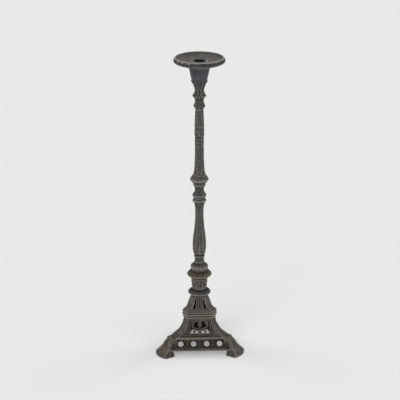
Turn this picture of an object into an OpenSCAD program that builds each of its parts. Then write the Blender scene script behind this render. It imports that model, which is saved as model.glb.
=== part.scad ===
// Tall altar candlestick: a three-sided pierced base on three feet, a stacked
// turned stem held by one tie rod, and a drip pan around a candle cup.
// Millimetres. +Z is up, the origin is on the stem axis at the floor, and the
// first side panel faces -Y.

/* [Stem heights] */
// Height of the ledge plate's underside above the floor
tier_z = 68; // [60:1:80]
// Height of the moulded ledge plate
ledge_h = 19.5; // [18:0.5:24]
// Height of the pierced upper tier
upper_tier_h = 25; // [20:1:32]
// Height of the ring above the upper tier
lower_ring_h = 18; // [14:1:24]
// Height of the carved knop
knop_h = 20.5; // [16:0.5:26]
// Height of the wide brown ring
upper_ring_h = 19; // [15:1:25]
// Height of the cushion under the baluster
cushion_h = 17.5; // [14:0.5:24]
// Height of the baluster
baluster_h = 137; // [110:1:160]
// Height of the waisted link above the baluster
link_h = 29.5; // [24:0.5:36]
// Height of the middle collar
collar_h = 18.5; // [15:0.5:24]
// Height of the plain upper stem
stem_h = 133.5; // [100:1:170]
// Height of the leaf knop under the cup
leaf_knop_h = 56.5; // [50:0.5:66]
// Height of the conical part of the candle cup
cup_h = 27.5; // [24:0.5:34]

/* [Stem radii] */
// Radius of the ring above the upper tier
lower_ring_r = 23; // [20:0.1:26]
// Radius of the carved knop
knop_r = 16; // [15:0.1:18]
// Radius of the wide brown ring
upper_ring_r = 25; // [22:0.1:28]
// Radius of the cushion
cushion_r = 17.7; // [15:0.1:20]
// Largest radius of the baluster
baluster_r = 13.5; // [12:0.1:16]
// Smallest radius of the baluster
baluster_neck_r = 8.2; // [7.5:0.1:9]
// Radius of the middle collar
collar_r = 18.5; // [15:0.1:21]
// Radius of the upper stem
stem_r = 8.5; // [8:0.1:10]
// Radius of the edge that the cup stands on
leaf_edge_r = 16.1; // [15:0.1:18]

/* [Cup and pan] */
// Radius of the candle hole
candle_r = 11.5; // [10:0.1:12]
// Depth of the candle hole
candle_depth = 29; // [20:1:32]
// Radius of the cup at its foot
cup_foot_r = 15; // [13:0.1:15.5]
// Radius of the cup's shoulder under the pan
cup_shoulder_r = 20.6; // [18:0.1:22]
// Radius of the cup's neck, which passes through the pan
cup_neck_r = 14; // [13:0.1:15]
// Length of the cup's neck above its shoulder
cup_neck_h = 10.4; // [10:0.1:14]
// Largest radius of the drip pan
pan_r = 49.4; // [40:0.1:60]
// Radius of the pan's lip
pan_lip_r = 46.7; // [38:0.1:58]
// Height of the pan, seat to lip
pan_h = 17.7; // [18:0.5:24]

/* [Base] */
// Distance from the axis to a panel's face at its top
panel_top_a = 23.5; // [22:0.1:25]
// Radius of the hollow curve of a panel
cavetto_r = 51; // [48:1:56]
// Distance from the axis to the band's face at its foot
band_foot_a = 53; // [50:0.5:55]
// Distance from the axis to the band's face at its top
band_top_a = 38.5; // [37.5:0.5:40]
// Height of the band's lower edge above the floor
band_z = 12; // [10:0.5:14]
// Height of the band's upper edge above the floor
band_top_z = 34.5; // [33.5:0.1:36]
// Wall thickness of the castings of the base
wall = 5; // [4:0.5:6]
// Distance from the axis to the toe of a foot
toe_r = 99; // [96:1:102]
// Distance from the axis to the heel of a foot
heel_r = 71; // [69:0.5:73]
// Half of a foot's width
foot_half_w = 20.5; // [19:0.1:22]
// How fast a leg narrows above its foot
leg_flare = 3.2; // [2.5:0.1:3.5]
// Half of a corner column's width
column_half_w = 8.3; // [7.5:0.1:9]
// Radius of the four round holes in a band
band_hole_r = 5.5; // [3.5:0.1:5.6]

/* [Fastenings] */
// Radius of the tie rod
rod_r = 3; // [2.5:0.1:3.2]
// Radius of the bore around the tie rod
rod_bore_r = 3.4; // [3.3:0.1:4]
// Radius of the locating spigots between stem pieces
spigot_r = 5.1; // [4.8:0.1:5.3]
// Height of the locating spigots
spigot_h = 3; // [2:0.5:4]
// Radius of the screws that hold the legs to the ledge plate
screw_r = 2; // [1.5:0.1:2.2]
// Depth of the tongues that locate the panels in the legs
tongue_h = 2.5; // [1.5:0.1:3]

/* [Hidden] */

sides = 3;
side_angle = 360 / sides;
first_leg_angle = -30;
turn_fn = 96;
reach = 150;
play = 0.15;
eps = 1;

ledge_top_z = tier_z + ledge_h;
ring_z = ledge_top_z + upper_tier_h;
knop_z = ring_z + lower_ring_h;
wide_z = knop_z + knop_h;
cushion_z = wide_z + upper_ring_h;
baluster_z = cushion_z + cushion_h;
link_z = baluster_z + baluster_h;
collar_z = link_z + link_h;
stem_z = collar_z + collar_h;
leaf_z = stem_z + stem_h;
cup_z = leaf_z + leaf_knop_h;
pan_z = cup_z + cup_h;

cavetto_a = panel_top_a + cavetto_r;
band_slope = atan((band_foot_a - band_top_a) / (band_top_z - band_z));
band_mid_z = (band_z + band_top_z) / 2;
band_hole_x = [-39.2, -13.3, 13.3, 39.2];
band_hole_z = band_mid_z + 1;
bezel_r = band_hole_r + 1.7;
bezel_proud = 0.8;

hub_r = 14;
hub_top_z = tier_z + 10;
washer_r = 10;
washer_h = 1.6;
nut_r = 5.8;
nut_h = 5;
rod_foot_z = tier_z - 1;
rod_top_z = cup_z + 6;
leg_screw_at = 24.5;
leg_screw_top_z = ledge_top_z - 1;
leg_screw_len = 30;
screw_head_r = 3.6;
screw_head_h = 2.2;
tongue_t = 2;
tongue_foot_z = 16;
tongue_top_z = 29;
toe_round_r = 31;

// Evenly spaced levels from one to another.
function steps(from, to, n = 10) = [for (i = [0:n]) from + (to - from) * i / n];

// Curve through a start, a pull point and an end.
function curve(p0, p1, p2, n = 8) =
    [for (i = [0:n]) let (t = i / n)
        (1 - t) * (1 - t) * p0 + 2 * t * (1 - t) * p1 + t * t * p2];

// Arc about a centre, from one angle to another.
function arc(c, r, from, to, n = 12) =
    [for (i = [0:n]) let (a = from + (to - from) * i / n)
        [c[0] + r * cos(a), c[1] + r * sin(a)]];

// Sides of a bar of one width that follows a line of points.
function unit(v) = v / norm(v);
function across(p, i) =
    let (t = unit(p[min(i + 1, len(p) - 1)] - p[max(i - 1, 0)])) [-t[1], t[0]];
function ribbon(p, w) = concat(
    [for (i = [0:len(p) - 1]) p[i] + across(p, i) * w / 2],
    [for (i = [len(p) - 1:-1:0]) p[i] - across(p, i) * w / 2]);

// A turned piece: its outline from foot to top, bored for the tie rod, with a
// socket below and a spigot above that centre it on its neighbours.
module turned(z, h, outline) {
    translate([0, 0, z]) rotate_extrude($fn = turn_fn) difference() {
        union() {
            polygon(concat([[0, 0]], outline, [[0, h]]));
            square([spigot_r, h + spigot_h]);
        }
        translate([0, -eps]) square([rod_bore_r, h + spigot_h + 2 * eps]);
        translate([0, -eps]) square([spigot_r + play, spigot_h + eps + play]);
    }
}

module narrow_ring() {
    seat_r = 16.8;
    top_r = 13.5;
    widest_z = 8;
    color("#4a463f") turned(ring_z, lower_ring_h, concat(
        [[seat_r, 0], [seat_r + 0.4, 3.2]],
        curve([seat_r + 0.6, 3.4], [lower_ring_r - 1.6, 4.2], [lower_ring_r, widest_z]),
        curve([lower_ring_r, widest_z], [lower_ring_r - 0.4, 11.6], [top_r, 15.4]),
        [[top_r, lower_ring_h]]));
}

module carved_knop() {
    foot_r = 13.9;
    color("#4a463f") turned(knop_z, knop_h, concat(
        [[foot_r, 0], [foot_r + 0.1, 2.2]],
        curve([foot_r + 0.1, 2.2], [knop_r, 3.2], [knop_r, 6]),
        [[knop_r, knop_h - 2], [knop_r - 0.4, knop_h]]));
}

module wide_ring() {
    seat_r = 15.8;
    top_r = 15.6;
    widest_z = 9.3;
    color("#5a4f3a") turned(wide_z, upper_ring_h, concat(
        [[seat_r, 0], [seat_r + 0.2, 3.4]],
        curve([seat_r + 0.4, 3.6], [upper_ring_r - 2.2, 4.6], [upper_ring_r, widest_z]),
        curve([upper_ring_r, widest_z], [upper_ring_r - 1, 13], [top_r, 17.8]),
        [[top_r, upper_ring_h]]));
}

module cushion() {
    seat_r = 15.4;
    neck_r = 9.9;
    color("#4d4a46") turned(cushion_z, cushion_h, concat(
        [[seat_r, 0], [seat_r + 1, 0.6]],
        curve([seat_r + 1, 0.6], [cushion_r + 0.2, 2.6], [cushion_r, 6]),
        curve([cushion_r, 6], [cushion_r, 9.6], [seat_r, 10.7]),
        curve([seat_r, 10.7], [neck_r + 1, 13.6], [neck_r, cushion_h])));
}

module baluster() {
    ring_at = 12;
    ring_r = 11.3;
    neck_r = 9.4;
    belly_z = 33;
    top_ring_r = 13.6;
    top_r = 11.5;
    color("#4b4945") turned(baluster_z, baluster_h, concat(
        [[neck_r + 0.4, 0], [neck_r - 0.3, 4.5], [neck_r, ring_at - 2.8]],
        [[ring_r, ring_at - 0.6], [ring_r, ring_at + 0.4], [neck_r, ring_at + 3]],
        curve([neck_r, ring_at + 4.2], [baluster_r + 0.2, 18], [baluster_r, belly_z]),
        curve([baluster_r, belly_z], [baluster_r, 50], [9.8, 73]),
        curve([9.5, 75], [8.9, 86], [baluster_neck_r, 96], 4),
        curve([baluster_neck_r, 110], [baluster_neck_r + 0.3, 122], [11.2, 127.6], 6),
        [[top_ring_r, 130], [top_ring_r, 132.6], [top_r, 135.2], [top_r, baluster_h]]));
}

module waisted_link() {
    foot_r = 11.5;
    ring_r = 14.1;
    waist_r = 8.5;
    top_r = 12.7;
    color("#4b4945") turned(link_z, link_h, concat(
        [[foot_r, 0], [foot_r + 0.1, 1.4], [ring_r, 3.5], [ring_r, 6]],
        curve([ring_r - 0.4, 6.8], [waist_r, 12], [waist_r, 17.6]),
        curve([waist_r, 17.6], [waist_r + 0.4, 21.5], [top_r, 26.4]),
        [[top_r, link_h]]));
}

module middle_collar() {
    foot_r = 12.5;
    color("#4c443f") turned(collar_z, collar_h, concat(
        [[foot_r, 0], [foot_r, 1.8]],
        curve([foot_r, 1.8], [collar_r - 1.4, 5], [collar_r, 8.8]),
        curve([collar_r, 9.6], [collar_r - 1.4, 13.4], [foot_r - 0.1, collar_h])));
}

module upper_stem() {
    foot_r = 12.4;
    step_z = 78;
    step_r = 9.9;
    slim_r = 8.5;
    color("#4f4d48") turned(stem_z, stem_h, concat(
        curve([foot_r, 0], [10.8, 5], [10.4, 10], 6),
        curve([10.3, 11], [9.5, 22], [stem_r + 0.4, 40], 6),
        [[stem_r + 0.1, step_z], [step_r, step_z + 2]],
        curve([step_r, step_z + 8], [9.4, 96], [slim_r, 113], 6),
        [[slim_r, 124], [slim_r - 0.3, stem_h]]));
}

module leaf_knop() {
    neck_r = 8.2;
    low_ring_r = 11.8;
    high_ring_r = 13.4;
    waist_r = 9.2;
    edge_z = 54.4;
    color("#45443f") turned(leaf_z, leaf_knop_h, concat(
        curve([neck_r, 0], [8.8, 3.2], [low_ring_r, 5.4], 4),
        [[low_ring_r, 6.4]],
        curve([low_ring_r, 6.4], [neck_r + 0.2, 10.6], [neck_r, 16], 6),
        curve([neck_r, 17], [8.3, 21.8], [high_ring_r, 25.2], 6),
        [[high_ring_r, 27.4]],
        curve([high_ring_r, 27.4], [waist_r + 0.2, 31.2], [waist_r - 0.1, 37], 6),
        curve([waist_r - 0.1, 37], [waist_r + 0.9, 46], [leaf_edge_r - 1.2, edge_z - 1]),
        [[leaf_edge_r, edge_z], [leaf_edge_r, leaf_knop_h]]));
}

// The neck of the cup passes through the pan, and the candle stands in it.
module candle_cup() {
    top = cup_h + cup_neck_h;
    color("#47494d") translate([0, 0, cup_z]) rotate_extrude($fn = turn_fn) difference() {
        polygon([[0, 0], [cup_foot_r - 0.4, 0], [cup_foot_r, 0.6],
                 [cup_shoulder_r - 0.4, cup_h - 3], [cup_shoulder_r, cup_h - 2.4],
                 [cup_shoulder_r, cup_h], [cup_neck_r, cup_h], [cup_neck_r, top - 0.6],
                 [cup_neck_r - 0.6, top], [0, top]]);
        translate([0, top - candle_depth]) square([candle_r, candle_depth + eps]);
        translate([0, -eps]) square([rod_r + 0.05, 7.5]);
        translate([0, -eps]) square([spigot_r + play, spigot_h + eps + play]);
    }
}

module drip_pan() {
    seat_r = 22.8;
    rim_z = 10.4;
    dish_floor = cup_neck_h - 1;
    color("#4e4c48") translate([0, 0, pan_z]) rotate_extrude($fn = turn_fn) difference() {
        polygon(concat(
            [[0, 0], [seat_r, 0], [seat_r + 0.6, 2.6], [seat_r + 4.7, 3.8]],
            curve([seat_r + 4.7, 3.8], [pan_r - 1.2, 5.2], [pan_r, rim_z]),
            curve([pan_r, rim_z + 0.6], [pan_r - 0.4, 14.6], [pan_lip_r, pan_h - 0.8], 4),
            [[pan_lip_r - 0.8, pan_h], [pan_lip_r - 1.8, pan_h - 0.2]],
            curve([pan_lip_r - 2.2, pan_h - 1], [36, dish_floor + 1], [18, dish_floor], 10),
            [[0, dish_floor]]));
        translate([0, -eps]) square([cup_neck_r + play, pan_h]);
    }
}

// A solid of equal sides: the face profile, as distance from the axis against
// height, swept across each side, and corners cut flat to the column width.
module each_side(outline) {
    intersection_for (k = [0:sides - 1])
        rotate([0, 0, k * side_angle]) rotate([90, 0, -90])
            translate([0, 0, -reach]) linear_extrude(2 * reach)
                polygon(concat([[-reach, outline[0][1]]], outline,
                               [[-reach, outline[len(outline) - 1][1]]]));
}

// Distance of a cut corner from the axis, for a face at a given distance.
function corner_at(a, half_w) = 2 * a - half_w * sqrt(3);

module three_sided(outline, half_w) {
    intersection() {
        each_side(outline);
        rotate([0, 0, 180]) each_side(
            [for (p = outline) [corner_at(p[0], half_w), p[1]]]);
    }
}

// An opening of the upper tier, in front view: a leaf that leans outwards.
module tier_slot() {
    foot = [10.6, ledge_top_z + 5.2];
    foot_r = 2.9;
    waist = [8.8, ledge_top_z + 12.5];
    waist_half_w = 1.4;
    head = [8.5, ledge_top_z + 18.5];
    head_r = 2.1;
    rotate([90, 0, 0]) linear_extrude(reach) union() {
        translate(foot) circle(r = foot_r, $fn = 32);
        polygon([foot - [foot_r, 0], foot + [foot_r, 0], waist + [waist_half_w, 0],
                 head + [head_r, 0], head - [head_r, 0], waist - [waist_half_w, 0]]);
        translate(head) circle(r = head_r, $fn = 32);
    }
}

module upper_tier() {
    foot_a = 21.7;
    waist_a = 17.9;
    head_a = 14.9;
    color("#48433c") difference() {
        union() {
            three_sided(concat([[foot_a, ledge_top_z], [foot_a, ledge_top_z + 0.8]],
                curve([foot_a, ledge_top_z + 0.8], [waist_a + 0.6, ledge_top_z + 5],
                      [waist_a, ledge_top_z + 11.5]),
                [[head_a, ring_z]]), column_half_w);
            translate([0, 0, ring_z - eps])
                cylinder(r = spigot_r, h = spigot_h + eps, $fn = turn_fn);
        }
        translate([0, 0, ledge_top_z - eps])
            cylinder(r1 = 15.4, r2 = 9.4, h = upper_tier_h - 3, $fn = turn_fn);
        translate([0, 0, tier_z])
            cylinder(r = rod_bore_r, h = reach, $fn = turn_fn);
        for (k = [0:sides - 1], side = [0, 1])
            rotate([0, 0, k * side_angle]) mirror([side, 0, 0]) tier_slot();
    }
}

module ledge_plate() {
    color("#574a3f") difference() {
        three_sided(concat(
            [[23.6, tier_z], [23.6, tier_z + 1.8], [24.5, tier_z + 2.4], [24.5, tier_z + 5],
             [23.9, tier_z + 5.8], [23.9, tier_z + 7.2], [25.3, tier_z + 8], [25.3, tier_z + 11],
             [24.1, tier_z + 11.8], [24.1, tier_z + 12.8]],
            curve([25, tier_z + 13.4], [25.2, tier_z + 17.8], [23.5, ledge_top_z], 5)),
            column_half_w);
        translate([0, 0, tier_z - eps])
            cylinder(r = hub_r, h = hub_top_z - tier_z + eps, $fn = turn_fn);
        cylinder(r = rod_bore_r, h = reach, $fn = turn_fn);
        for (k = [0:sides - 1]) rotate([0, 0, first_leg_angle + k * side_angle])
            translate([leg_screw_at, 0, leg_screw_top_z]) {
                mirror([0, 0, 1]) cylinder(r = screw_r + play, h = reach / 2, $fn = 32);
                mirror([0, 0, 1]) cylinder(r = screw_head_r + play, h = screw_head_h, $fn = 32);
                cylinder(r = screw_head_r + play, h = 2 * eps, $fn = 32);
            }
    }
}

// Half of a leg's width at a height: a column that flares towards its foot.
function leg_half_w(z) =
    column_half_w + (foot_half_w - column_half_w) * pow((tier_z - z) / tier_z, leg_flare);

// The space that a leg fills, as a bar that runs out from the axis.
module leg_bar() {
    levels = steps(0, tier_z, 16);
    rotate([90, 0, 90]) linear_extrude(reach) polygon(concat(
        [for (z = levels) [leg_half_w(z), z]],
        [for (i = [len(levels) - 1:-1:0]) [-leg_half_w(levels[i]), levels[i]]]));
}

// The plan of a leg, with its toe rounded.
module leg_plan() {
    linear_extrude(reach) polygon(concat([[0, -toe_round_r]],
        arc([toe_r - toe_round_r, 0], toe_round_r, -90, 90, 24), [[0, toe_round_r]]));
}

// The crest of a leg seen from the side, from its toe to the ledge plate.
function leg_crest() =
    let (toe_edge = [toe_r, 1.6], instep = [79, 17], knee = [65.5, 34.2], shin = [36.8, 50])
    concat(
        [[toe_r, 0]],
        curve(toe_edge, [88, 6.5], instep),
        curve(instep, [74, 31], knee),
        curve(knee, [44.4, 35.6], shin),
        curve(shin, [32.6, 58], [31.6, tier_z]));

// The hollow side of a leg, back down to its heel.
function leg_inside() =
    let (back_r = 20, bend = [back_r, 58], arch = [44, 29.5])
    concat(
        [[back_r, tier_z], bend],
        curve(bend, [22.5, 36], arch, 6),
        [[58, 28.5], [62, band_z], [heel_r, band_z], [heel_r, 0]]);

// Distance of a band's face from the axis at a height, less a depth into it.
function band_a(z, depth = 0) =
    band_foot_a - (z - band_z) * tan(band_slope) - depth / cos(band_slope);

// Distance of a panel's hollow face from the axis at a height.
function cavetto_face(z, r = cavetto_r) =
    cavetto_a - sqrt(r * r - (tier_z - z) * (tier_z - z));

// Half of a panel's width at a height, where its face meets the legs.
function panel_half_w(a, z) = a * sqrt(3) - 2 * leg_half_w(z);

// A side section, as distance from the axis against height, swept between the
// legs beside it and reaching into them by some amount.
module panel_sweep(outline, into = 0) {
    levels = steps(tier_z, band_top_z);
    half = concat(
        [for (z = levels) [panel_half_w(cavetto_face(z), z) + into, z]],
        [for (z = steps(band_top_z, band_z, 4)) [panel_half_w(band_a(z), z) + into, z]]);
    intersection() {
        rotate([0, 0, -90]) rotate([90, 0, 0]) translate([0, 0, -reach / 2])
            linear_extrude(reach) polygon(outline);
        rotate([90, 0, 0]) linear_extrude(reach) polygon(concat(half,
            [for (i = [len(half) - 1:-1:0]) [-half[i][0], half[i][1]]]));
    }
}

// A panel's tongues, or the grooves in the legs that they sit in.
module tongues(room = 0) {
    z0 = tongue_foot_z - room;
    z1 = tongue_top_z + room;
    outer = wall / 2 - tongue_t / 2 - room;
    inner = wall / 2 + tongue_t / 2 + room;
    panel_sweep([[band_a(z0, outer), z0], [band_a(z1, outer), z1],
                 [band_a(z1, inner), z1], [band_a(z0, inner), z0]], tongue_h + room);
}

module leg(k) {
    color("#4d4038") rotate([0, 0, first_leg_angle + k * side_angle]) difference() {
        intersection() {
            leg_bar();
            leg_plan();
            rotate([90, 0, 0]) translate([0, 0, -reach / 2]) linear_extrude(reach)
                polygon(concat(leg_crest(), leg_inside()));
        }
        for (s = [-1, 1]) rotate([0, 0, 90 + s * side_angle / 2]) {
            panel_sweep(panel_section());
            tongues(play);
        }
        translate([leg_screw_at, 0, leg_screw_top_z - leg_screw_len - eps])
            cylinder(r = screw_r + 0.05, h = reach, $fn = 32);
    }
}

function panel_section() =
    let (bead = 1, inner_z = band_top_z - wall)
    concat(
        [[band_a(band_z, wall), band_z], [band_a(band_z) + bead, band_z],
         [band_a(band_z + 2.6) + bead, band_z + 2.6], [band_a(band_z + 3.2), band_z + 3.2],
         [band_a(band_top_z - 3.4), band_top_z - 3.4],
         [band_a(band_top_z - 2.8) + bead, band_top_z - 2.8],
         [band_a(band_top_z) + bead, band_top_z], [band_a(band_top_z) - 2, band_top_z + 1]],
        [for (z = steps(band_top_z + 1, tier_z)) [cavetto_face(z), z]],
        [for (z = steps(tier_z, inner_z)) [cavetto_face(z, cavetto_r + wall), z]],
        [[band_a(inner_z, wall), inner_z]]);

// The opening of a panel, in front view, with its scrolls left standing.
module tracery() {
    bar_w = 2;
    head = [-13.8, 60.2];
    head_r = 2.5;
    cross = [0, 46.9];
    fork = [11.2, 42.6];
    fork_r = 1.6;
    stalk_w = 1.6;
    spine_w = 2.2;
    bud = [0, 56.5];
    bud_r = 2.8;
    below_window = 10;
    web_half_w = 6.5;
    web_h = 11;
    for (s = [0, 1]) mirror([s, 0, 0]) {
        polygon(ribbon(concat(
            arc(head, head_r, -70, 180),
            curve(head - [head_r, 1], [-18.4, 53], [-10, 50.2], 6),
            curve([-9, 49.9], [-3, 48.6], cross, 4),
            curve([1.2, 46.4], [5, 45.4], [9.5, 48], 4),
            curve([10.5, 48.4], [19, 50], [20.8, 41], 6)), bar_w));
        translate(fork) circle(r = fork_r, $fn = 24);
        translate(fork - [stalk_w / 2, below_window]) square([stalk_w, below_window]);
    }
    translate(bud) circle(r = bud_r, $fn = 24);
    translate(cross - [spine_w / 2, below_window]) square([spine_w, 3 * below_window]);
    polygon([cross, cross - [web_half_w, web_h], cross - [-web_half_w, web_h]]);
}

// Places something at each round hole of a band, square to the band's face.
module band_holes() {
    for (x = band_hole_x) translate([x, -band_a(band_hole_z), band_hole_z])
        rotate([90 - band_slope, 0, 0]) children();
}

module panel(k) {
    window_half_w = 21;
    window_top_z = 63.5;
    window_foot_z = 38.6;
    color("#4a433b") rotate([0, 0, k * side_angle]) {
        difference() {
            union() {
                panel_sweep(panel_section());
                band_holes() cylinder(r = bezel_r, h = 2 * bezel_proud, center = true, $fn = 48);
                tongues();
            }
            band_holes() cylinder(r = band_hole_r, h = 4 * wall, center = true, $fn = 48);
            rotate([90, 0, 0]) linear_extrude(reach) difference() {
                polygon([[-window_half_w, window_foot_z], [window_half_w, window_foot_z],
                         [window_half_w - 1, window_top_z], [1 - window_half_w, window_top_z]]);
                tracery();
            }
        }
    }
}

module front_panel() { panel(0); }
module right_panel() { panel(1); }
module left_panel() { panel(2); }
module right_leg() { leg(0); }
module rear_leg() { leg(1); }
module left_leg() { leg(2); }

module tie_rod() {
    color("#6a6a6c") translate([0, 0, rod_foot_z])
        cylinder(r = rod_r, h = rod_top_z - rod_foot_z, $fn = 48);
}

module tie_washer() {
    color("#6a6a6c") translate([0, 0, hub_top_z - washer_h]) difference() {
        cylinder(r = washer_r, h = washer_h, $fn = 48);
        translate([0, 0, -eps]) cylinder(r = rod_r + play, h = washer_h + 2 * eps, $fn = 48);
    }
}

module tie_nut() {
    color("#6a6a6c") translate([0, 0, hub_top_z - washer_h - nut_h]) difference() {
        cylinder(r = nut_r, h = nut_h, $fn = 6);
        translate([0, 0, -eps]) cylinder(r = rod_r + 0.05, h = nut_h + 2 * eps, $fn = 48);
    }
}

module leg_screws() {
    color("#6a6a6c") for (k = [0:sides - 1]) rotate([0, 0, first_leg_angle + k * side_angle])
        translate([leg_screw_at, 0, leg_screw_top_z]) mirror([0, 0, 1]) {
            cylinder(r = screw_head_r, h = screw_head_h, $fn = 32);
            cylinder(r = screw_r, h = leg_screw_len, $fn = 32);
        }
}

drip_pan();
candle_cup();
leaf_knop();
upper_stem();
middle_collar();
waisted_link();
baluster();
cushion();
wide_ring();
carved_knop();
narrow_ring();
upper_tier();
ledge_plate();
front_panel();
right_panel();
left_panel();
right_leg();
rear_leg();
left_leg();
tie_rod();
tie_washer();
tie_nut();
leg_screws();
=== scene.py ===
"""Aged cast-iron looks for a tall three-sided altar candlestick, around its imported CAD.

Shapes are worked out in millimetres from sections and surfaces read off the CAD
nodes. +Z is up, the stem is on the Z axis, and the first side panel faces -Y.
"""

import math

import bmesh
import bpy
import numpy as np
from mathutils import Matrix, Vector
from mathutils.bvhtree import BVHTree


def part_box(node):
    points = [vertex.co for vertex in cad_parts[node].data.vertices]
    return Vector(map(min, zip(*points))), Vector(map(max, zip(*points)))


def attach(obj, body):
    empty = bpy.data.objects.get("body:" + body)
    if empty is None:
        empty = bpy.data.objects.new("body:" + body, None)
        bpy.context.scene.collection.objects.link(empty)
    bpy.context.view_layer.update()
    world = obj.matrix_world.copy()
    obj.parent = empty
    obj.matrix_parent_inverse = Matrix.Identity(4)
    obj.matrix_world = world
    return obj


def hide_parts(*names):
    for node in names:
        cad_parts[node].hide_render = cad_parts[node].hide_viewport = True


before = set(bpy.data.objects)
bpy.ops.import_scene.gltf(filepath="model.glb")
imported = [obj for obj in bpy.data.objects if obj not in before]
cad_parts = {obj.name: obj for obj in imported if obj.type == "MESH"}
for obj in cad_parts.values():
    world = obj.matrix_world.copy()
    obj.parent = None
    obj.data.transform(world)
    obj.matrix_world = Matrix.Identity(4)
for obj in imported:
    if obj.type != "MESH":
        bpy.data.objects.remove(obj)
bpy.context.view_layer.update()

MM = 0.001
TAU = 2 * math.pi
SIDE_TURN = math.radians(120)
FIRST_LEG_TURN = math.radians(-30)

# A turned piece's bore is hidden up to this radius, so its mesh is coarser there.
BORE_R, BORE_STEP = 5.6, 2.5

# Raised work fades in from this radius, over this many millimetres.
RELIEF_FROM_R, RELIEF_EASE = 6.2, 0.8

# No rod runs along this direction, so the sections of a rod never turn over.
ROD_UP = Vector((0.31, 0.17, 0.94))

# Wear compares a vertex with its surroundings after a few rounds of averaging, for
# edges, and after many, for hollows. The millimetres are what counts as a full step.
EDGE_ROUNDS, HOLLOW_ROUNDS = 3, 12
EDGE_MM, HOLLOW_MM = 0.08, 0.4
# The attribute holds the wear, and also painted shade and painted highlights: upward faces and
# each piece's tone add them.
WEAR_AND_PAINTED_LIGHT = "wear_and_painted_light"


# ---- Reading the CAD ------------------------------------------------------------


def cad_copy(node, turn=0.0):
    """A closed copy of a CAD node in millimetres, turned about the stem's axis."""
    bm = bmesh.new()
    bm.from_mesh(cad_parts[node].data)
    bmesh.ops.remove_doubles(bm, verts=bm.verts, dist=1e-6)
    bm.transform(Matrix.Rotation(turn, 4, "Z") @ Matrix.Scale(1 / MM, 4))
    return bm


def foot_of(node):
    """The height of a node's lowest point."""
    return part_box(node)[0].z / MM


def section(node):
    """The outline (radius, height) of a turned CAD node, from pole to pole or closed."""
    bm = cad_copy(node, 0.01)
    cut = bmesh.ops.bisect_plane(
        bm, geom=[*bm.verts, *bm.edges, *bm.faces], plane_co=(0, 0, 0), plane_no=(0, 1, 0)
    )
    links = {}
    for e in cut["geom_cut"]:
        if isinstance(e, bmesh.types.BMEdge) and max(v.co.x for v in e.verts) > 1e-3:
            a, b = e.verts
            links.setdefault(a, []).append(b)
            links.setdefault(b, []).append(a)
    first = min(links, key=lambda v: (len(links[v]), v.co.z))
    chain = [first, links[first][0]]
    while chain[-1] != first and len(links[chain[-1]]) == 2:
        ahead = [v for v in links[chain[-1]] if v != chain[-2]]
        chain.append(ahead[0])
    outline = np.array([(max(v.co.x, 0), v.co.z) for v in chain])
    bm.free()
    return outline


def is_closed(outline):
    """Whether an outline ends where it starts."""
    return bool(np.allclose(outline[0], outline[-1]))


def even(outline, step):
    """An outline with points a step apart, and fewer in the hidden bore."""
    length = np.hypot(*np.diff(outline, axis=0).T)
    middle = (outline[1:, 0] + outline[:-1, 0]) / 2
    weight = length / np.where(middle > BORE_R, step, BORE_STEP)
    at = np.concatenate([[0], np.cumsum(weight)])
    wanted = np.linspace(0, at[-1], int(at[-1]) + 2)
    return np.column_stack([np.interp(wanted, at, outline[:, i]) for i in (0, 1)])


def rounded(outline, rounds):
    """An outline with its corners eased."""
    closed = is_closed(outline)
    for _ in range(rounds):
        inner = (outline[:-2] + 2 * outline[1:-1] + outline[2:]) / 4
        ends = (outline[-2] + 2 * outline[0] + outline[1]) / 4 if closed else None
        first, last = (ends, ends) if closed else (outline[0], outline[-1])
        outline = np.vstack([first, inner, last])
    return outline


# ---- Meshes ---------------------------------------------------------------------


def revolve(name, outline, segments, relief=None):
    """An outline swept about the axis, with relief added to its outer radius."""
    closed = is_closed(outline)
    body = outline[:-1] if closed else outline[1:-1]
    rows = len(body)
    r = np.repeat(body[:, :1], segments, 1)
    z = np.repeat(body[:, 1:], segments, 1)
    phi = np.repeat(np.arange(segments)[None, :] * TAU / segments, rows, 0)
    if relief:
        r = r + relief(phi, z) * np.clip((r - RELIEF_FROM_R) / RELIEF_EASE, 0, 1)
    points = np.stack([r * np.sin(phi), -r * np.cos(phi), z], -1).reshape(-1, 3)
    strips = rows if closed else rows - 1
    i, j = np.meshgrid(np.arange(strips), np.arange(segments), indexing="ij")
    k, m = (i + 1) % rows, (j + 1) % segments
    faces = np.stack(
        [i * segments + j, i * segments + m, k * segments + m, k * segments + j], -1
    ).reshape(-1, 4).tolist()
    if not closed:
        ends = [(0, 0, outline[0, 1]), (0, 0, outline[-1, 1])]
        start, finish, last = len(points), len(points) + 1, (rows - 1) * segments
        points = np.vstack([points, ends])
        for j in range(segments):
            m = (j + 1) % segments
            faces += [[start, m, j], [finish, last + j, last + m]]
    mesh = bpy.data.meshes.new(name)
    mesh.from_pydata((points * MM).tolist(), [], faces)
    return facing_out(mesh)


def facing_out(mesh):
    """A mesh with its faces turned outwards."""
    bm = bmesh.new()
    bm.from_mesh(mesh)
    bmesh.ops.recalc_face_normals(bm, faces=bm.faces)
    bm.to_mesh(mesh)
    bm.free()
    return mesh


def tube(path, radius, sides=10, end=0.35):
    """Points and faces of a rod along a path, with its two ends drawn in."""
    path = [Vector(p) for p in path]
    n = len(path)
    rings, faces = [], []
    for i, p in enumerate(path):
        along = (path[min(i + 1, n - 1)] - path[max(i - 1, 0)]).normalized()
        side = along.cross(ROD_UP).normalized()
        over = side.cross(along)
        size = radius * (end if i in (0, n - 1) else 1)
        for j in range(sides):
            a = TAU * j / sides
            rings.append(p + (side * math.cos(a) + over * math.sin(a)) * size)
    for i in range(n - 1):
        for j in range(sides):
            k = (j + 1) % sides
            faces.append([i * sides + j, i * sides + k, (i + 1) * sides + k, (i + 1) * sides + j])
    faces.append(list(range(sides))[::-1])
    faces.append([(n - 1) * sides + j for j in range(sides)])
    return rings, faces


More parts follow.
